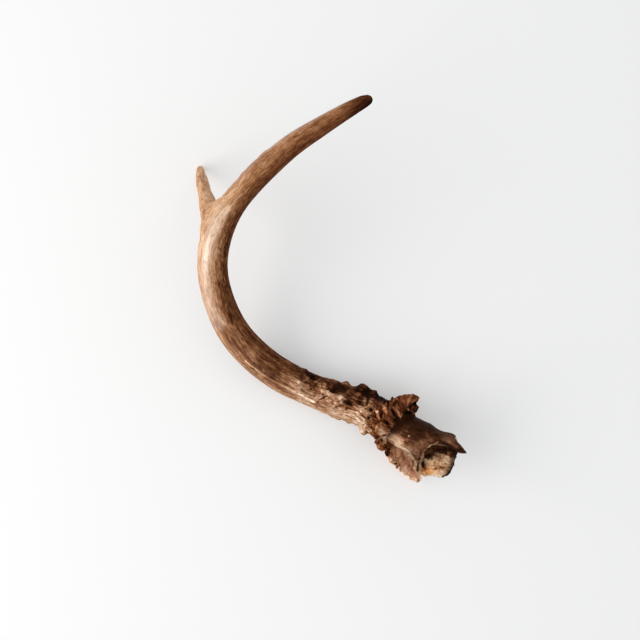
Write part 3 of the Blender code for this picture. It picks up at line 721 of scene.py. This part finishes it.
BEAM_PALES_AND_PAINTED_LIGHT = [
    (0.16, 2, LONG_RIDGE),
    (0.20, 7, [(284, 377), (300, 386), (314, 391), (328, 394)]), (0.06, 5, [(340, 399), (352, 406)]),
    (0.18, 6, [(352, 412), (364, 420)]),
    # painted highlight: the light paths here and on the next two lines lie along the worn ridge of the fork and
    # bend, beside the coat's own reflection
    (0.60, 3.6, [(228, 208), (224, 213), (219, 220.5), (214, 230), (210, 240), (207.5, 250), (206.5, 258)]),
    (0.30, 3.6, [(219, 223), (213.5, 236)]), (-0.10, 5, [(238, 203), (229, 216), (224, 228), (220, 240)]),
    (0.08, 5, [(213, 257), (213.5, 265), (214.5, 280)]), (0.08, 4, [(208.5, 257), (207.5, 270), (208, 285)]),
    (-0.07, 5, [(330, 117), (311, 127), (291, 142)]),
    (0.05, 3.4, [(401.5, 403), (398.5, 407), (397.3, 413.3), (399.5, 419), (398, 423)]),
    (0.12, 3, [(385.5, 408), (386.5, 414.7), (388.5, 421), (391.5, 427)]),
    # painted light on the lit band along the top of the ear
    (0.14, 4.2, [(402, 400.5), (412, 400.5)]), (0.10, 2.6, [(409, 401.5), (414.5, 401.5)]),
    # painted highlights on the pale beads at the burr's left, together with their own paleness; here, on the
    # next line and the spots at (371, 431) and (368.6, 431.2) below
    (0.12, 1.9, [(372.3, 421.3), (373.7, 427.3)]), (0.15, 1.6, (368.3, 430.7)), (0.30, 2.2, (380.5, 424)),
    (0.35, 1.8, [(383.7, 406), (385, 408)]), (0.35, 1.4, [(377.7, 410.7), (378.3, 416), (379.7, 419.3)]),
    (0.30, 1.1, EAR_NOTCH_EDGE), (0.22, 2, [(414, 479), (419, 480.5)]),
    (-0.22, 7, [(358, 388), (370, 392), (378, 398)]), (-0.30, 8, [(337, 388), (350, 397), (351, 404)]),
    # painted shade: the first path darkens the inner side of the bend, away from the light
    (-0.20, 8, [(219, 285), (222, 298), (232, 318)]), (-0.17, 7.5, [(258, 362), (272, 374), (286, 378)]),
    (-0.06, 7, [(225, 332), (234, 344), (245, 355)]), (-0.16, 5, [(268, 378), (276, 381.5), (284, 385)]),
    (-0.10, 6, (318, 403)), (-0.12, 4.5, [(266, 376), (284, 385)]), (0.40, 1.8, (371, 431)),
    (0.12, 2.4, [(377, 426), (380, 429)]), (0.10, 5, [(330, 408), (345, 413), (360, 423)]),
    (0.10, 3, [(299, 382), (308, 386)]), (0.12, 3, [(325, 386), (328, 391)]), (0.08, 4, (340, 397)),
    (0.10, 4, (361, 392)), (-0.06, 2.4, (374.5, 425.5)), (0.15, 1.6, (368.6, 431.2)), (0.16, 3, (410, 477.5)),
    (0.12, 2.4, (392, 459)),
]
stain_and_shade = np.clip(marks_on(seen, facing + EDGE_REACH, BEAM_STAINS_AND_SHADOWS), 0, 1)
tone += marks_on(seen, facing + EDGE_REACH, BEAM_PALES_AND_PAINTED_LIGHT)
# painted shadow under the crust's overhang, on the side over the skull bone
shade_under_crust = ramp(21.5, 18, plate_radius) * ramp(-2, 1, plate_height) * near_burr
reddest = np.maximum.reduce([ramp(0.85, 0.35, tone), 1.9 * lobe_face, 1.5 * tongue, 1.2 * folded])
keep_share(antler, "stain_and_shade", stain_and_shade + 0.7 * shade_under_crust * over_bone)
keep_share(antler, "tone", tone)
keep_share(antler, "red", crust * 0.5 * reddest * (1 - quiet) + 0.1 * lumpy)
keep_share(antler, "speckle", 0.40 + 0.6 * inside * bend_part + 0.34 * low_part - 0.1 * on_tine)
POLISHED_RIDGE = [(226, 209.5), (219, 218.5), (214, 229), (209.5, 243), (207, 257), (205, 270), (206, 288),
                  (211, 307), (220, 325)]
around_beam = np.degrees(beam_a) % 360
crest = dome(np.abs(around_beam - 145), 75) * (1 - on_tine)
rim = dome(np.abs(around_beam - 168), 48) * (1 - on_tine)
polish = stroke(seen, POLISHED_RIDGE, 8) ** 0.5 * ramp(0, 0.3, facing)
polish *= 0.2 + 0.8 * ramp(203, 228, seen[:, 1])
polish += 0.2 * crest * low_part + (0.9 * rim + 0.1 * crest) * high_part * (1 - tip)
keep_share(antler, "polish", polish)
ridges = ramp(0.15, -0.45, antler_pit)
keep_share(antler, "dusty", base_part * (0.35 + 0.55 * ridges) + 0.08 * low_part - 0.3 * crust)
keep_share(antler, "streaky", 1 - 0.5 * high_part - 0.3 * np.maximum(near_fork, bend_part) - 0.2 * low_part)

# %% [markdown]
# The long beam is smooth and needs few triangles, where the burr needs many. The Decimate modifier takes out
# the corners that matter least to the form and mixes the painted values of those that it joins.

# %% Thin out the antler's mesh
MOST_TRIANGLES = 196000


def triangles(thing):
    return sum(len(face.vertices) - 2 for face in thing.data.polygons)


apply_modifier(antler, "fewer triangles", "DECIMATE", ratio=MOST_TRIANGLES / triangles(antler))
print("antler skin triangles", triangles(antler))

# %% [markdown]
# The skull bone is painted in the same way. It has no speckles or polish, but it keeps where it is broken,
# because the spongy bone inside has a colour of its own, and where it is hollow, for the painted shade there.

# %% Paint the skull bone
bone_seen = map_places(read_points(pedicle))
bone_facing = read_normals(pedicle)[:, 2]
keep_value(pedicle, "pit", pit_depth(pedicle))
keep_grain(pedicle, unroll(bone_height, BONE_RADIUS, bone_turn))
BONE_PALES_AND_PAINTED_LIGHT = [
    # painted light: the broad first path paints the lower-left side paler where light falls, and the 0.45 path
    # on the next line is a painted highlight on the lit rim
    (0.60, 9, [(382, 432), (390, 437), (397, 441)]), (0.28, 6, [(400, 444), (408, 449)]),
    (0.45, 2.6, [(396, 445), (403, 448.5), (408.5, 452), (413, 459)]), (0.14, 5, [(413, 446), (420, 455)]),
    (0.14, 6, [(446, 438), (456, 445)]), (0.35, 1.6, FLANGE_END),
    # painted highlight on the lip's lit edge
    (0.30, 1.5, LIP_EDGE), (0.7, 1.7, (408.8, 436)),
    (0.25, 3, [(403.5, 439.5), (407, 440)]), (0.12, 6, [(418, 444), (430, 440)]),
    # the last, darkening path is painted shade on the upper side under the ear
    (0.10, 5, [(440, 437), (452, 441)]), (-0.10, 12, [(415, 425), (436, 432)]),
]
BONE_STAINS_AND_SHADOWS = [
    # painted shadow: the first two paths darken the skull bone under the crust and the ear
    (0.90, 7, [(421, 412), (412, 416), (403, 423), (395, 430), (386, 434)]),
    (0.50, 13, [(428, 424), (415, 427)]), (0.3, 7, [(422, 437), (414, 440)]),
    # painted shade in the hollow under the lip, here and in the (446, 449) path further down
    (0.9, 3, [(441, 441.5), (446, 443.5), (451, 447), (458, 451)]),
    (0.9, 1.7, [(419, 459), (418.3, 465), (417.5, 470)]), (0.5, 3, [(421, 452), (419.5, 458)]),
    (0.95, 2.6, [(457, 454), (455.6, 463), (452, 471), (448, 475.5), (442, 479)]),
    (0.95, 5.5, [(460, 451), (468, 453.5)]), (0.75, 5.4, [(454, 457), (453, 464), (450, 471), (445, 477)]),
    (0.95, 4.2, [(446, 449), (452, 451), (457, 454)]), (0.9, 2.6, (455.5, 436)),
    (0.6, 3, [(430, 455), (440, 449)]), (0.5, 3.2, [(424, 457), (423, 466)]),
    (0.5, 4, [(422, 463), (423, 470)]), (0.35, 6, [(425, 464), (428, 472)]),
    (0.2, 3.4, [(451.5, 456), (450.5, 464), (447, 471)]), (0.45, 2, [(457, 444), (462, 449)]),
    (0.22, 4.5, [(434, 456.5), (443, 456)]),
]
ORANGE_SPOTS = [
    (0.35, 3, [(403.5, 439.5), (407, 439)]), (0.8, 5, [(423, 470), (431, 472)]),
    (0.18, 8, [(428, 468), (438, 464)]), (0.15, 9, [(388, 436), (402, 444)]),
]
BONE_TONE = 0.27
pales_and_painted_light = marks_on(bone_seen, bone_facing + EDGE_REACH, BONE_PALES_AND_PAINTED_LIGHT)
keep_share(pedicle, "broken", broken)
keep_share(pedicle, "hollow", hollow * 1.15)
# the side from 95 to 190 degrees, which faces the light, is painted paler: partly the bone's own colour and
# partly painted light
keep_share(pedicle, "tone", BONE_TONE + 0.10 * ramp(95, 190, bone_angle) + pales_and_painted_light)
keep_share(pedicle, "stain_and_shade", marks_on(bone_seen, bone_facing + 2 * EDGE_REACH, BONE_STAINS_AND_SHADOWS))
keep_share(pedicle, "red", marks_on(bone_seen, bone_facing + EDGE_REACH, ORANGE_SPOTS))

# %% [markdown]
# ## Finishes
# Antler and skull bone are both bone, so they share two effects, each in a node group: streaks along the
# grain, and a tint that goes dark in pits and pale on ridges. The small dark pores of the antler are a third.

# %% Helpers for nodes
MIX_SHARE, MIX_FIRST, MIX_SECOND, MIX_RESULT = 0, 6, 7, 2       # the colour sockets of a Mix node


def is_socket(value):
    return isinstance(value, bpy.types.NodeSocket)


def feed(tree, node, values):
    """Links sockets to a node's inputs and sets those that are given as plain values."""
    for key, value in values.items():
        if is_socket(value):
            tree.links.new(value, node.inputs[key])
        else:
            node.inputs[key].default_value = value
    return node


def add_node(tree, kind, values=None, **settings):
    """Adds a node, sets its options and feeds its inputs."""
    made = tree.nodes.new(kind)
    for key, value in settings.items():
        setattr(made, key, value)
    return feed(tree, made, values or {})


def calculate(tree, operation, first, second=0):
    return add_node(tree, "ShaderNodeMath", {0: first, 1: second}, operation=operation).outputs[0]


def times(tree, first, second):
    return calculate(tree, "MULTIPLY", first, second)


def stretch(tree, place, factors):
    return add_node(tree, "ShaderNodeVectorMath", {0: place, 1: factors}, operation="MULTIPLY").outputs[0]


def noise_at(tree, place, scale, detail, roughness=0.5):
    return add_node(tree, "ShaderNodeTexNoise", {"Vector": place, "Scale": scale, "Detail": detail,
                                                 "Roughness": roughness}).outputs[0]


def remap(tree, value, low, high, new_low=0, new_high=1):
    return add_node(tree, "ShaderNodeMapRange",
                    {"Value": value, "From Min": low, "From Max": high, "To Min": new_low,
                     "To Max": new_high}, interpolation_type="SMOOTHSTEP").outputs[0]


def mix_colour(tree, share, first, second, blend="MIX"):
    first, second = [colour if is_socket(colour) else (*colour, 1) for colour in (first, second)]
    return add_node(tree, "ShaderNodeMix", {MIX_SHARE: share, MIX_FIRST: first, MIX_SECOND: second},
                    data_type="RGBA", blend_type=blend).outputs[MIX_RESULT]


def shaded(tree, colour, factors):
    """A colour with its red, green and blue multiplied."""
    return mix_colour(tree, 1, colour, factors, "MULTIPLY")


# %% Helpers for node groups
def new_group(name, inputs, outputs):
    """A new node group, with the sockets that it is given and its end node."""
    group = bpy.data.node_groups.new(name, "ShaderNodeTree")
    for title, kind, value in inputs:
        socket = group.interface.new_socket(title, in_out="INPUT", socket_type=kind)
        if value is not None:
            socket.default_value = value
    for title, kind in outputs:
        group.interface.new_socket(title, in_out="OUTPUT", socket_type=kind)
    return group, group.nodes.new("NodeGroupInput").outputs, group.nodes.new("NodeGroupOutput")


def use_group(tree, group, values):
    return add_node(tree, "ShaderNodeGroup", values, node_tree=group).outputs


# %% Streaks along the grain
MM_PER_METRE = 1000
streaks, given, end = new_group(
    "streaks along the bone",
    [("Grain", "NodeSocketVector", None), ("Width mm", "NodeSocketFloat", 2),
     ("Stretch", "NodeSocketFloat", 12)],
    [("Streak", "NodeSocketFloat"), ("Hair", "NodeSocketFloat")])
squeeze = add_node(streaks, "ShaderNodeCombineXYZ",
                   {"X": calculate(streaks, "DIVIDE", 1, given["Stretch"]), "Y": 1, "Z": 1})
pressed = stretch(streaks, given["Grain"], squeeze.outputs[0])
per_metre = calculate(streaks, "DIVIDE", MM_PER_METRE, given["Width mm"])
feed(streaks, end, {"Streak": noise_at(streaks, pressed, per_metre, 3, 0.6),
                    "Hair": noise_at(streaks, pressed, times(streaks, per_metre, 3.1), 2, 0.65)})
print(streaks.name, len(streaks.nodes), "nodes")

# %% Small dark pores
DRAWN_OUT = (0.45, 1, 1)        # draws a pattern out along the grain
pores, given, end = new_group(
    "pores in the bone",
    [("Grain", "NodeSocketVector", None), ("Size mm", "NodeSocketFloat", 1.6),
     ("Amount", "NodeSocketFloat", 0.5)],
    [("Pore", "NodeSocketFloat")])
dots = add_node(pores, "ShaderNodeTexVoronoi",
                {"Vector": stretch(pores, given["Grain"], DRAWN_OUT), "Randomness": 1,
                 "Scale": calculate(pores, "DIVIDE", MM_PER_METRE, given["Size mm"])})
patches = noise_at(pores, given["Grain"], 95, 2)
reach = times(pores, remap(pores, patches, 0.42, 0.7), given["Amount"])
dot_shape = calculate(pores, "SUBTRACT", reach, dots.outputs["Distance"])
feed(pores, end, {"Pore": remap(pores, dot_shape, -0.06, 0.16)})
print(pores.name, len(pores.nodes), "nodes")

# %% Dark pits and pale ridges
depth_tint, given, end = new_group(
    "dirt in pits, wear on ridges",
    [("Colour", "NodeSocketColor", None), ("Pit", "NodeSocketFloat", 0),
     ("Dirt", "NodeSocketColor", None), ("Dirt amount", "NodeSocketFloat", 0.8),
     ("Worn", "NodeSocketColor", None), ("Worn amount", "NodeSocketFloat", 0.5)],
    [("Colour", "NodeSocketColor")])
in_pit = times(depth_tint, remap(depth_tint, given["Pit"], 0.05, 0.95), given["Dirt amount"])
on_ridge = times(depth_tint, remap(depth_tint, given["Pit"], -0.08, -0.7), given["Worn amount"])
dirty = mix_colour(depth_tint, in_pit, given["Colour"], given["Dirt"])
feed(depth_tint, end, {"Colour": mix_colour(depth_tint, on_ridge, dirty, given["Worn"])})
print(depth_tint.name, len(depth_tint.nodes), "nodes")


# %% Parts that the finishes have
def new_finish(name):
    material = bpy.data.materials.new(name)
    material.use_nodes = True
    tree = material.node_tree
    return material, tree, tree.nodes["Principled BSDF"]


def kept(tree, name, output="Fac"):
    """A value that was kept with the mesh."""
    return add_node(tree, "ShaderNodeAttribute", attribute_name=name).outputs[output]


def tone_ramp(tree, value, stops):
    """A colour ramp through (place, (red, green, blue)) stops."""
    made = add_node(tree, "ShaderNodeValToRGB", {0: value})
    band = made.color_ramp
    while len(band.elements) < len(stops):
        band.elements.new(0.5)
    for element, (place, colour) in zip(band.elements, stops):
        element.position = place
        element.color = (*colour, 1)
    return made.outputs[0]


def stirred(tree, value, noise_value, strength):
    """A value with noise around its middle added to it."""
    centred = calculate(tree, "SUBTRACT", noise_value, 0.5)
    return calculate(tree, "ADD", value, times(tree, centred, strength))


# %% [markdown]
# The antler's colour goes from nearly black brown through chestnut to a pale tan. One value, the tone, picks
# the place on that scale: it starts from the painted tone, which also holds painted light and shade, and takes
# streaks and blotches on top. Red crust, dust, pores, dirt, and stains with painted shadows are laid over that
# colour one after another. The worn bend has a thin clear coat, because a hard polish is what gives the real
# one its bright streak; the streak is painted paler as well, as a painted highlight.

# %% Antler colour
ANTLER_SCALE = [(0, (0.010, 0.0028, 0.0010)), (0.25, (0.060, 0.016, 0.005)), (0.45, (0.170, 0.060, 0.022)),
                (0.6, (0.300, 0.130, 0.055)), (0.8, (0.520, 0.290, 0.160)), (1, (0.700, 0.470, 0.310))]
REDDER, DUSTIER, WORN_PALER = (1.35, 0.78, 0.5), (0.95, 1.12, 1.38), (2, 2.05, 2.1)
# the stain brown also colours the painted shadows
PORE_BROWN, STAIN_AND_SHADOW_BROWN, PIT_BROWN = (0.035, 0.010, 0.004), (0.012, 0.004, 0.002), (0.010, 0.0035, 0.0015, 1)
antler_finish, tree, shader = new_finish("antler bone")
grain_place = kept(tree, "grain", "Vector")
streak = use_group(tree, streaks, {"Grain": grain_place, "Width mm": 3.2, "Stretch": 5})
dash = use_group(tree, streaks, {"Grain": grain_place, "Width mm": 4.4, "Stretch": 2.6})
blotch = noise_at(tree, stretch(tree, grain_place, DRAWN_OUT), 170, 6, 0.75)
streaky = kept(tree, "streaky")
tone_value = stirred(tree, kept(tree, "tone"), streak["Streak"], times(tree, streaky, 0.75))
tone_value = stirred(tree, tone_value, streak["Hair"], times(tree, streaky, 1.10))
tone_value = stirred(tree, tone_value, blotch, 0.70)
base = tone_ramp(tree, tone_value, ANTLER_SCALE)
base = mix_colour(tree, times(tree, kept(tree, "red"), 0.55), base, shaded(tree, base, REDDER))
base = mix_colour(tree, kept(tree, "dusty"), base, shaded(tree, base, DUSTIER))
print("antler colours on the scale", len(ANTLER_SCALE), "nodes so far", len(tree.nodes))

# %% Pores, dashes, cracks, dirt and stains of the antler
pore = use_group(tree, pores, {"Grain": grain_place, "Size mm": 1.6, "Amount": 0.55})
dashes = remap(tree, dash["Hair"], 0.54, 0.68)
marked = calculate(tree, "MAXIMUM", pore["Pore"], times(tree, dashes, 0.9))
crack_noise = use_group(tree, streaks, {"Grain": grain_place, "Width mm": 4, "Stretch": 11})
off_line = calculate(tree, "ABSOLUTE", calculate(tree, "SUBTRACT", crack_noise["Streak"], 0.47))
crack = times(tree, remap(tree, off_line, 0.022, 0.004), remap(tree, blotch, 0.42, 0.6))
speckle = times(tree, calculate(tree, "MAXIMUM", marked, crack), kept(tree, "speckle"))
base = mix_colour(tree, times(tree, speckle, 0.85), base, PORE_BROWN)
tinted = use_group(tree, depth_tint, {"Colour": base, "Pit": kept(tree, "pit"),
                                      "Dirt": PIT_BROWN, "Dirt amount": 0.92,
                                      "Worn": shaded(tree, base, WORN_PALER), "Worn amount": 0.6})
# stains and painted shadows darken the colour
base = mix_colour(tree, kept(tree, "stain_and_shade"), tinted["Colour"], STAIN_AND_SHADOW_BROWN)
print("nodes so far", len(tree.nodes))

# %% Gloss and fine relief of the antler
LITTLE_SHINE = 0.02
DULL, POLISHED = 0.66, 0.45
polished = kept(tree, "polish")
height = calculate(tree, "SUBTRACT", times(tree, streak["Hair"], 0.7), speckle)
bump = add_node(tree, "ShaderNodeBump", {"Height": height, "Strength": 0.5, "Distance": 0.4 * MM})
feed(tree, shader, {
    "Base Color": base, "Normal": bump.outputs[0], "Specular IOR Level": LITTLE_SHINE,
    "Roughness": stirred(tree, remap(tree, polished, 0, 1, DULL, POLISHED), streak["Hair"], -0.25),
    "Coat Weight": times(tree, polished, 0.9), "Coat Roughness": 0.29, "Coat IOR": 2})
antler.data.materials.append(antler_finish)
print(antler_finish.name, len(tree.nodes), "nodes")

# %% [markdown]
# The skull bone has two scales of colour: a dark one for the smooth outside and a pale, mottled one for the
# spongy bone where it broke. The hollow has the same mottling in nearly black brown, as painted shade.

# %% Skull bone finish
BONE_SCALE = [(0, (0.006, 0.0018, 0.0007)), (0.3, (0.056, 0.018, 0.006)), (0.5, (0.165, 0.073, 0.036)),
              (0.75, (0.34, 0.20, 0.125)), (1, (0.55, 0.40, 0.28))]
SPONGE_SCALE = [(0.22, (0.13, 0.046, 0.015)), (0.36, (0.35, 0.165, 0.072)), (0.48, (0.56, 0.335, 0.185)),
                (0.70, (0.74, 0.53, 0.35))]
# colours of the hollow, nearly black as painted shade in the recess
HOLLOW_SHADE_SCALE = [(0.35, (0.012, 0.004, 0.002)), (0.75, (0.19, 0.07, 0.03))]
# the stain colour also paints the skull bone's shadows
MORE_ORANGE, BONE_STAIN_AND_SHADOW = (1.35, 0.85, 0.45), (0.018, 0.0055, 0.0018)
BONE_DIRT, BONE_WORN = (0.010, 0.004, 0.002, 1), (0.50, 0.34, 0.22, 1)
SMOOTH_BONE, TORN_BONE = 0.45, 0.85
skull_finish, tree, shader = new_finish("skull bone")
place = add_node(tree, "ShaderNodeTexCoord").outputs["Object"]
streak = use_group(tree, streaks, {"Grain": kept(tree, "grain", "Vector"), "Width mm": 3, "Stretch": 3})
blotch = noise_at(tree, place, 130, 5, 0.7)
fine_blotch = noise_at(tree, place, 480, 4, 0.7)
tone_value = stirred(tree, kept(tree, "tone"), streak["Streak"], 0.55)
tone_value = stirred(tree, tone_value, streak["Hair"], 0.55)
tone_value = stirred(tree, tone_value, blotch, 0.5)
sponge_tone = stirred(tree, stirred(tree, blotch, fine_blotch, 1.2), blotch, 0.5)
base = mix_colour(tree, kept(tree, "broken"), tone_ramp(tree, tone_value, BONE_SCALE),
                  tone_ramp(tree, sponge_tone, SPONGE_SCALE))
base = mix_colour(tree, kept(tree, "red"), base, shaded(tree, base, MORE_ORANGE))
tinted = use_group(tree, depth_tint, {"Colour": base, "Pit": kept(tree, "pit"),
                                      "Dirt": BONE_DIRT, "Dirt amount": 0.85,
                                      "Worn": BONE_WORN, "Worn amount": 0.15})
# the hollow is painted nearly black as painted shade in the recess
base = mix_colour(tree, kept(tree, "hollow"), tinted["Colour"], tone_ramp(tree, sponge_tone, HOLLOW_SHADE_SCALE))
# stains and painted shadows of the skull bone
base = mix_colour(tree, kept(tree, "stain_and_shade"), base, BONE_STAIN_AND_SHADOW)
height = calculate(tree, "ADD", blotch, times(tree, fine_blotch, 0.3))
bump = add_node(tree, "ShaderNodeBump", {"Height": height, "Strength": 0.4, "Distance": 0.5 * MM})
feed(tree, shader, {
    "Base Color": base, "Normal": bump.outputs[0], "Specular IOR Level": LITTLE_SHINE,
    "Roughness": remap(tree, kept(tree, "broken"), 0, 1, SMOOTH_BONE, TORN_BONE)})
pedicle.data.materials.append(skull_finish)
print(skull_finish.name, len(tree.nodes), "nodes")

# %% [markdown]
# ## Floor, light and camera
# The antler lies on a plain pale floor. A large soft light stands to the left and low, as a window does, and
# the pale surroundings fill the shadows. The floor glows a little by itself, which keeps the shadows as light
# as those of the photograph. The camera looks straight down.

# %% Floor
FLOOR_SIZE = 8
FLOOR_GREY = (0.60, 0.60, 0.596, 1)
FLOOR_GLOW = 0.24
bpy.ops.object.select_all(action="DESELECT")
bpy.ops.mesh.primitive_plane_add(size=FLOOR_SIZE, location=(0, 0, 0))
floor = bpy.context.active_object
floor.name = "floor"
floor_finish, tree, shader = new_finish("pale floor")
feed(tree, shader, {"Base Color": FLOOR_GREY, "Roughness": 0.7, "Emission Color": (1, 1, 1, 1),
                    "Emission Strength": FLOOR_GLOW})
floor.data.materials.append(floor_finish)
print(floor.name, FLOOR_SIZE, "m wide")

# %% Light
SKY_WHITE, SKY_STRENGTH = (0.97, 0.985, 1, 1), 0.80
WINDOW_RISE = math.radians(28)
WINDOW_DIRECTION = Vector((-0.99 * math.cos(WINDOW_RISE), -0.147 * math.cos(WINDOW_RISE), math.sin(WINDOW_RISE)))
WINDOW_DISTANCE, WINDOW_WIDTH, WINDOW_HEIGHT = 1.9, 2, 1.5
WINDOW_WATTS, WINDOW_WHITE = 31, (1, 0.985, 0.96)
world = bpy.data.worlds.new("pale room")
bpy.context.scene.world = world
world.use_nodes = True
feed(world.node_tree, world.node_tree.nodes["Background"], {"Color": SKY_WHITE, "Strength": SKY_STRENGTH})
window_data = bpy.data.lights.new("window", "AREA")
window_data.shape = "RECTANGLE"
window_data.size = WINDOW_WIDTH
window_data.size_y = WINDOW_HEIGHT
window_data.energy = WINDOW_WATTS
window_data.color = WINDOW_WHITE
window = bpy.data.objects.new("window", window_data)
window.location = WINDOW_DIRECTION * WINDOW_DISTANCE
window.rotation_euler = (-WINDOW_DIRECTION).to_track_quat("-Z", "Y").to_euler()
bpy.context.scene.collection.objects.link(window)
print(window.name, WINDOW_WATTS, "W at", [round(v, 2) for v in window.location], "m")

# %% Camera
SENSOR_WIDTH = 36
FARTHEST_SEEN = 20
camera_data = bpy.data.cameras.new("camera")
camera_data.sensor_width = SENSOR_WIDTH
camera_data.lens = SENSOR_WIDTH * CAMERA_HEIGHT / (2 * PICTURE_MIDDLE * FLOOR_MM_PER_PIXEL)
camera_data.clip_end = FARTHEST_SEEN
camera = bpy.data.objects.new("camera", camera_data)
camera.location = Vector(camera_place) * MM
camera.rotation_euler = (0, 0, 0)
bpy.context.scene.collection.objects.link(camera)
bpy.context.scene.camera = camera
bpy.context.scene.view_settings.view_transform = "Standard"
print("lens", round(camera_data.lens, 1), "mm")

# %% [markdown]
# ## Tie the skins to the part
# The antler's skin stands for beam and tine, and the other one for the stump of skull bone. Both ride on the
# part's only body.

# %% Tie the skins to the part and finish
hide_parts("beam", "tine")
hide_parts("pedicle")
for skin, slot in ((antler, "antler"), (pedicle, "skull_bone")):
    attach(skin, "root")
